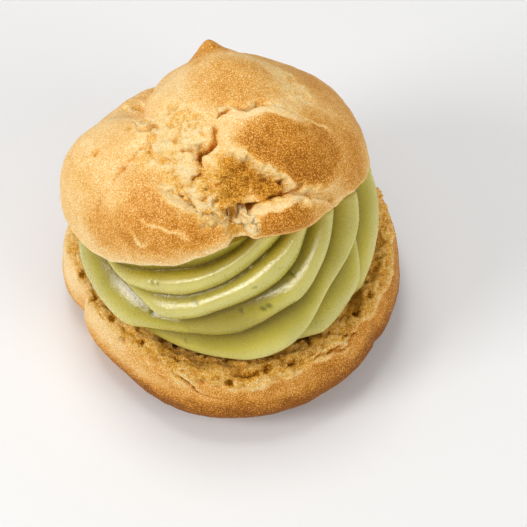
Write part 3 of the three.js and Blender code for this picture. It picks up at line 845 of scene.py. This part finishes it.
def make_cap(columns, rows):
    azimuth = columns_round(columns)
    share = np.linspace(0, 1, rows + 1)[:, None]
    direction = cap_rays(azimuth, share)
    dome = dome_distance(direction)
    spots = unit((CAP_CORE + direction * dome[..., None]) / CAP_SIZE)
    normals = unit(spots / CAP_SIZE)
    ball = CAP_RADIUS * spots
    bent = shaken(ball, CAP_BEND_SHAKES)
    ragged = shaken(bent, CAP_LINE_SHAKES)

    def near(route):
        return near_line(ragged, cap_line(route), normals)

    # The notch, and the surface without its relief
    polar = np.degrees(np.arccos(np.clip(spots[..., 2], -1, 1)))
    wandering = polar + grain(ball, NOTCH["wander"], seed=19)
    beside = np.abs(turn_between(azimuth_of(ragged), NOTCH["azimuth"])) / NOTCH["spread"]
    notch = ease(NOTCH["top"], NOTCH["top"] + NOTCH["fade"], wandering) * ease(*NOTCH["sides"], beside)
    recess = NOTCH["depth"] * lerp(1, NOTCH["at_rim"], ease(*NOTCH["rim"], polar)) * notch
    radius = soft_min(dome - recess, reach(CAP_CORE, direction, above_underside), CAP_LIP)

    # Relief, and from 0 to 1 how torn, golden, pale, dark and hollow the crust is; dark and hollow are
    # painted as shade
    step_relief, step_torn, pale = cap_edges(near)
    crack_depth, dark = cap_cracks(near, ball)
    flap_end = patch_mask(spots, [FLAP_END], FLAP_EDGE, seed=43)
    golden = patch_mask(spots, GOLDEN_FACES, GOLDEN_EDGE, seed=24)
    torn = patch_mask(spots, TORN_PATCHES, TORN_EDGE, seed=23)
    torn = np.maximum.reduce([torn, notch, flap_end, step_torn])
    crumb, shaded_hollow = crumb_relief(ball, seed=25)
    surface = lerp(skin_relief(ball, seed=31), crumb * (1 - GOLDEN_FLATNESS * golden), torn)
    relief = cap_forms(spots, bent, normals) + step_relief + surface - crack_depth
    for at, down, size, depth in CAP_PITS:
        pit = pit_at(ragged, CAP_RADIUS * aim(at, down), size, CAP_PIT_WALL)
        relief -= depth * pit
        shaded_hollow = np.maximum(shaded_hollow, pit)
        torn = np.maximum(torn, pit)

    # Loose crumbs on what is torn and beside the notch
    past_lip = share - CAP_DOME_SHARE
    on_dome = np.clip(-past_lip / CAP_LIP_FADE, 0, 1)
    points = CAP_CORE + direction * radius[..., None] + normals * (relief * on_dome)[..., None]
    near_rim = ease(*NOTCH_CRUMBLE["rows"], share) * ease(CAP_LIP_FADE, 0, past_lip)
    loose = np.maximum(torn * on_dome, swell(beside, NOTCH_CRUMBLE["spread"]) * near_rim)
    points = lerp(points, shaken(points, CAP_CRUMB_SHAKES), loose[..., None])
    points = lerp(points, shaken(points, FLAP_SHAKES), (flap_end * on_dome)[..., None])

    skin_bake = SKIN["bake_and_shade"] + patch_mask(spots, BAKED_PATCHES, BAKED_EDGE, seed=35)
    skin_bake = skin_bake + grain(ball, SKIN["wander"], seed=36)
    # Hollows and pits are baked darker and more golden as painted shade
    golden_bake_and_shade = golden * (GOLDEN_CRUMB["bake_and_shade"] + GOLDEN_CRUMB["shaded_hollow"] * shaded_hollow)
    crumb_bake_and_shade = np.maximum(CRUMB["bake_and_shade"] + CRUMB["shaded_hollow"] * shaded_hollow, golden_bake_and_shade)
    # The notch is baked darker inside: partly golden crumb, partly painted shade in the recess
    bake_and_shade = lerp(skin_bake, lerp(crumb_bake_and_shade, NOTCH["bake_and_shade"], notch**2), torn)
    pale = PALE_EDGE["share"] * pale * (1 - PALE_EDGE["less_in_hollows"] * shaded_hollow * torn)
    # Cracks and the seam take the painted shade at the dark end of the scale
    bake_and_shade = lerp(lerp(bake_and_shade, PALE_EDGE["bake_and_shade"], pale), 1, dark)
    bake_and_shade = lerp(bake_and_shade, FLAP_CRUMB["bake_and_shade"] + FLAP_CRUMB["shaded_hollow"] * shaded_hollow, flap_end)
    bake_and_shade = lerp(bake_and_shade, LIP_EDGE["bake_and_shade"], LIP_EDGE["share"] * swell(past_lip, LIP_EDGE["width"]))
    under = ease(*UNDERSIDE["rows"], past_lip)
    marks = {
        "bake_and_shade": lerp(bake_and_shade, UNDERSIDE["bake_and_shade"], under),
        "rough": np.maximum(torn * (1 - GOLDEN_SMOOTHNESS * golden), under),
    }
    return ringed_mesh("choux_cap_crust", points @ CAP_TURN.T + CAP_CENTRE, marks)


# Cream

def groove_line(route):
    """A groove's azimuths, one degree apart, and its smoothed latitudes there"""
    at, latitude = np.array(route, float).T
    fine = np.arange(at[0], at[-1], 1.0)
    padded = np.pad(np.interp(fine, at, latitude), GROOVE_SMOOTHING, mode="reflect", reflect_type="odd")
    window = np.hanning(2 * GROOVE_SMOOTHING + 1)
    return fine, np.convolve(padded, window / window.sum(), mode="valid")


GROOVE_LINES = [groove_line(route) for route in GROOVES]


def grooves_at(azimuth):
    """Latitudes of the grooves at an azimuth, from foot to top, with lean and height of the strands below"""
    found = [(SWIRL_TOP, 1, 1), (SWIRL_FOOT, 1, 1)]
    for (fine, line), shape in zip(GROOVE_LINES, STRAND_SHAPES):
        along, leans, heights = np.array(shape).T
        for lap in (azimuth, azimuth + 360):
            if fine[0] < lap < fine[-1]:
                lean = np.interp(lap, along, leans)
                height = np.interp(lap, along, heights)
                found.append((np.interp(lap, fine, line), lean, height))
    return np.array(sorted(found)).T


def cream_strands(azimuth, latitude):
    """At each point the share of the way down across its strand, and the strand's width, lean and height"""
    across, width, lean, height = np.zeros((4, len(latitude), len(azimuth)))
    for column, at in enumerate(azimuth):
        grooves, leans, heights = grooves_at(at)
        upper = np.clip(np.searchsorted(grooves, latitude), 1, len(grooves) - 1)
        span = grooves[upper] - grooves[upper - 1]
        across[:, column] = np.clip((grooves[upper] - latitude) / span, 0, 1)
        width[:, column] = np.radians(span) * CREAM_SIZE[1]
        lean[:, column] = leans[upper]
        height[:, column] = heights[upper]
    return across, width, lean, height


def below_cap(points):
    """Whether points are below the cap's underside and the air under it"""
    own = (points - CAP_CENTRE) @ CAP_TURN
    return own[..., 2] < underside_height(own) - GAP


def cream_core(direction, azimuth, latitude, lid):
    """How far the floors of the grooves are from the middle of the cream"""
    core = 1 / np.linalg.norm(direction / CREAM_SIZE, axis=-1) - GROOVE_DEPTH
    leaning = 1 - CREAM_LEAN["share"] * ease(*CREAM_LEAN["latitudes"], latitude)
    tuck = CREAM_TUCK + CREAM_RIGHT_TUCK["depth"] * swell_at(azimuth, CREAM_RIGHT_TUCK)
    return soft_min(core * leaning, lid - tuck, CREAM_TAPER)


def cream_crease(ball, direction):
    at, latitude = np.array(CREAM_CREASE["route"]).T
    line = CREAM_SIZE[0] * unit(smooth_line(aim(at, 90 - latitude)))
    distance, along, side = near_line(ball, line, direction)
    edge = ease(*CREAM_CREASE["edge"], side * distance)
    return CREAM_CREASE["depth"] * np.sin(np.pi * along) * fold(distance, CREAM_CREASE["width"]) * edge


def nozzle_streaks(azimuth, across):
    round_swirl = aim(azimuth, 90) * np.degrees(1) / STREAK_LENGTH
    return grain(round_swirl + across[..., None] * np.array([0, 0, STREAKS]), STREAK_GRAIN, seed=42)


def make_cream(columns):
    azimuth = columns_round(columns) % 360
    stretches = [
        np.linspace(start, end, int(count * columns / COLUMNS), endpoint=False)
        for start, end, count in CREAM_ROWS
    ]
    latitude = np.concatenate([*stretches, np.linspace(*CREAM_LAST_ROWS)])
    across, width, lean, height = cream_strands(azimuth, latitude)
    latitude = latitude[:, None]
    direction = aim(azimuth, 90 - latitude)
    ball = direction * CREAM_SIZE[0]
    lid = reach(CREAM_CENTRE, direction, below_cap)
    bowl = reach(CREAM_CENTRE, direction, lambda points: points[..., 2] > bowl_height(points) + GAP)

    section = np.sin(np.pi * across**lean) ** STRAND_ROUNDNESS
    ridge = height * np.minimum(RIDGE_HEIGHT, RIDGE_SHARE * width) * section
    swirl = cream_core(direction, azimuth, latitude, lid) + ridge - cream_crease(ball, direction)
    swirl = swirl + grain(ball, CREAM_WAVE, seed=40) + section * nozzle_streaks(azimuth, across)
    foot = FOOT_REACH - FOOT_DIP["depth"] * swell_at(azimuth, FOOT_DIP) + RIDGE_AT_FOOT * ridge
    swirl = lerp(foot, swirl, ease(*SWIRL_START, latitude))
    radius = soft_min(soft_min(swirl, lid, CREAM_SHOULDER), bowl, CREAM_FOOT)

    fleck = np.zeros(radius.shape)
    uneven = grain(ball, SPOT_WANDER, seed=41)
    for at, spot_latitude, size, depth, dark in CREAM_SPOTS:
        turn = turn_between(azimuth, at) * np.cos(np.radians(spot_latitude))
        away = np.radians(np.hypot(turn, latitude - spot_latitude)) * radius
        spot = within(away + uneven, size, SPOT_WALL)
        radius = radius - depth * spot
        fleck = np.maximum(fleck, dark * spot)
    grid = CREAM_CENTRE + direction * radius[..., None]
    # The crest heights paint light on the strands' crests and shade in their grooves
    return ringed_mesh("piped_cream", grid, {"fleck": fleck, "strand_light_and_shade": section * height})


# Materials

def linear(colour):
    """A colour as seen, from 0 to 255, as the linear values that shaders take"""
    return (*Color(np.array(colour) / 255).from_srgb_to_scene_linear(), 1)


class Surface:
    """A material under construction, with one Principled shader"""

    def __init__(self, name):
        self.material = bpy.data.materials.new(name)
        self.material.use_nodes = True
        self.tree = self.material.node_tree
        self.shader = self.tree.nodes["Principled BSDF"]
        self.place = self.node("ShaderNodeTexCoord", {}).outputs["Object"]

    def fill(self, node, inputs):
        """Gives inputs of a node their values, or links them to the outputs of other nodes"""
        for name, source in inputs.items():
            if hasattr(source, "is_output"):
                self.tree.links.new(source, node.inputs[name])
            else:
                node.inputs[name].default_value = source

    def node(self, kind, inputs, **settings):
        made = self.tree.nodes.new(kind)
        for name, value in settings.items():
            setattr(made, name, value)
        self.fill(made, inputs)
        return made

    def mark(self, name):
        return self.node("ShaderNodeAttribute", {}, attribute_name=name).outputs["Fac"]

    def noise(self, size, detail, roughness=0.5):
        inputs = {"Vector": self.place, "Scale": 1 / (size * MM), "Detail": detail, "Roughness": roughness}
        return self.node("ShaderNodeTexNoise", inputs).outputs["Fac"]

    def ramp(self, value, stops):
        made = self.node("ShaderNodeValToRGB", {"Fac": value})
        elements = made.color_ramp.elements
        for index in range(1, len(stops) - 1):
            elements.new(index / (len(stops) - 1))
        for element, colour in zip(elements, stops):
            element.color = linear(colour)
        return made.outputs["Color"]

    def spread(self, value, given, wanted):
        """Maps one range of values to another"""
        ends = dict(zip(("From Min", "From Max", "To Min", "To Max"), (*given, *wanted)))
        return self.node("ShaderNodeMapRange", {"Value": value, **ends}).outputs["Result"]

    def math(self, kind, a, b):
        return self.node("ShaderNodeMath", {0: a, 1: b}, operation=kind).outputs["Value"]

    def mix(self, share, a, b, kind="MIX"):
        inputs = {"Factor": share, MIX_A: a, MIX_B: b}
        return self.node("ShaderNodeMix", inputs, data_type="RGBA", blend_type=kind).outputs[MIX_RESULT]

    def bump(self, height, distance, strength, under=None):
        inputs = {"Height": height, "Strength": strength, "Distance": distance * MM}
        if under is not None:
            inputs["Normal"] = under
        return self.node("ShaderNodeBump", inputs).outputs["Normal"]


def crust_material(name):
    s = Surface(name)
    speckle, mottle, crumbs, dots = (s.noise(*kind["noise"]) for kind in (SPECKLE, MOTTLE, CRUMBS, PALE_DOTS))
    rough = s.mark("rough")
    bake_and_shade = s.math("ADD", s.mark("bake_and_shade"), s.spread(mottle, NOISE_RANGE, MOTTLE["bake_and_shade"]))
    bake_and_shade = s.math("ADD", bake_and_shade, s.spread(speckle, NOISE_RANGE, SPECKLE["bake_and_shade"]))
    # Painted shade in the crumb's low places and painted light on its high ones
    crumb_bake_and_shade = s.math("MULTIPLY", rough, s.spread(crumbs, CRUMBS["range"], CRUMBS["bake_and_shade"]))
    bake_and_shade = s.math("ADD", bake_and_shade, crumb_bake_and_shade)
    bake_and_shade = s.math("ADD", bake_and_shade, s.spread(dots, PALE_DOTS["range"], PALE_DOTS["bake_and_shade"]))
    leather = s.bump(mottle, MOTTLE["bump"], s.spread(rough, FULL_RANGE, MOTTLE["strength"]))
    crumbled = s.bump(crumbs, CRUMBS["bump"], rough, leather)
    s.fill(s.shader, {
        "Base Color": s.mix(rough, s.ramp(bake_and_shade, CRUST_STOPS), s.ramp(bake_and_shade, CRUMB_STOPS)),
        "Roughness": s.spread(speckle, NOISE_RANGE, SPECKLE["roughness"]),
        "Specular IOR Level": s.spread(rough, FULL_RANGE, CRUST_SHINE),
        "Subsurface Weight": s.spread(rough, FULL_RANGE, CRUST_GLOW),
        "Normal": s.bump(speckle, *SPECKLE["bump"], crumbled),
        **CRUST_SHADER,
    })
    return s.material


def cream_material(name):
    s = Surface(name)
    # Painted shade in the grooves and painted light on the crests follow the strands' crest heights
    strand_light_and_shade = s.mark("strand_light_and_shade")
    colour = s.mix(s.spread(strand_light_and_shade, GROOVE_SHADE_RANGE, FULL_RANGE), linear(CREAM_GROOVE_SHADE), linear(CREAM_GREEN))
    colour = s.mix(s.spread(strand_light_and_shade, CREST_LIGHT_RANGE, FULL_RANGE), colour, linear(CREAM_CREST_LIGHT))
    dust = s.spread(s.noise(*DUST["noise"]), DUST["range"], DUST["strength"])
    groups = s.spread(s.noise(*DUST_GROUPS["noise"]), DUST_GROUPS["range"], FULL_RANGE)
    flecks = s.math("MAXIMUM", s.mark("fleck"), s.math("MULTIPLY", dust, groups))
    colour = s.mix(flecks, colour, linear(CREAM_FLECK))
    cloud = s.spread(s.noise(*CLOUD["noise"]), CLOUD["range"], CLOUD["shade"])
    fine = s.noise(*FINE["noise"])
    lumps = s.bump(s.noise(*COARSE["noise"]), *COARSE["bump"])
    s.fill(s.shader, {
        "Base Color": s.mix(1.0, colour, cloud, "MULTIPLY"),
        "Roughness": s.spread(fine, NOISE_RANGE, FINE["roughness"]),
        "Normal": s.bump(fine, *FINE["bump"], lumps),
        **CREAM_SHADER,
    })
    return s.material


def floor_material():
    s = Surface("pale_floor")
    s.fill(s.shader, {"Base Color": linear(FLOOR_COLOUR), **FLOOR_SHADER})
    return s.material


# Stage

def make_floor():
    half = FLOOR_HALF * MM
    corners = [(-half, -half, 0), (half, -half, 0), (half, half, 0), (-half, half, 0)]
    mesh = bpy.data.meshes.new("floor")
    mesh.from_pydata(corners, [], [(0, 1, 2, 3)])
    mesh.materials.append(floor_material())
    return add("floor", mesh)


def make_world():
    world = bpy.data.worlds.new("studio")
    world.use_nodes = True
    background = world.node_tree.nodes["Background"]
    background.inputs["Color"].default_value = (1, 1, 1, 1)
    background.inputs["Strength"].default_value = WORLD_STRENGTH
    bpy.context.scene.world = world


def place_matrix(place, right, up, back):
    """Puts a thing that looks along -back at a place in mm"""
    turn = Matrix(np.stack([right, up, back], 1).tolist()).to_4x4()
    return Matrix.Translation((place * MM).tolist()) @ turn


def make_light(name, place, width, watts, matt):
    data = bpy.data.lights.new(name, "AREA")
    data.shape = "DISK"
    data.size = width * MM
    data.energy = watts
    light = add(name, data)
    back = unit(place - LIGHT_TARGET)
    right = unit(np.cross((0, 0, 1), back))
    light.matrix_world = place_matrix(np.array(place), right, np.cross(back, right), back)
    light.visible_diffuse = matt
    light.visible_glossy = not matt


def make_camera():
    lean = math.radians(VIEW_ELEVATION)
    right = np.array([1, 0, 0])
    up = np.array([0, math.sin(lean), math.cos(lean)])
    back = np.array([0, -math.cos(lean), math.sin(lean)])
    off_right, off_down = (PICTURE / 2 - np.array(ORIGIN_PIXEL)) / PIXELS_PER_MM
    data = bpy.data.cameras.new("camera")
    data.sensor_width = SENSOR
    data.lens = PIXELS_PER_MM * VIEW_DISTANCE / PICTURE * SENSOR
    camera = add("camera", data)
    place = right * off_right - up * off_down + back * VIEW_DISTANCE
    camera.matrix_world = place_matrix(place, right, up, back)
    bpy.context.scene.camera = camera


fineness = 1
columns = int(COLUMNS * fineness)
base = make_base(columns)
cream = make_cream(columns)
cap = make_cap(columns, int(CAP_ROWS * fineness))

for piece, node, finish, material in (
    (base, "choux_base", "base_crust", crust_material),
    (cream, "cream_swirl", "green_cream", cream_material),
    (cap, "choux_cap", "cap_crust", crust_material),
):
    piece.data.materials.append(material(finish))
    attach(piece, "root")
    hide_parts(node)

make_floor()
make_world()
for light in LIGHTS:
    make_light(*light)
make_camera()
bpy.context.scene.view_settings.view_transform = "Standard"
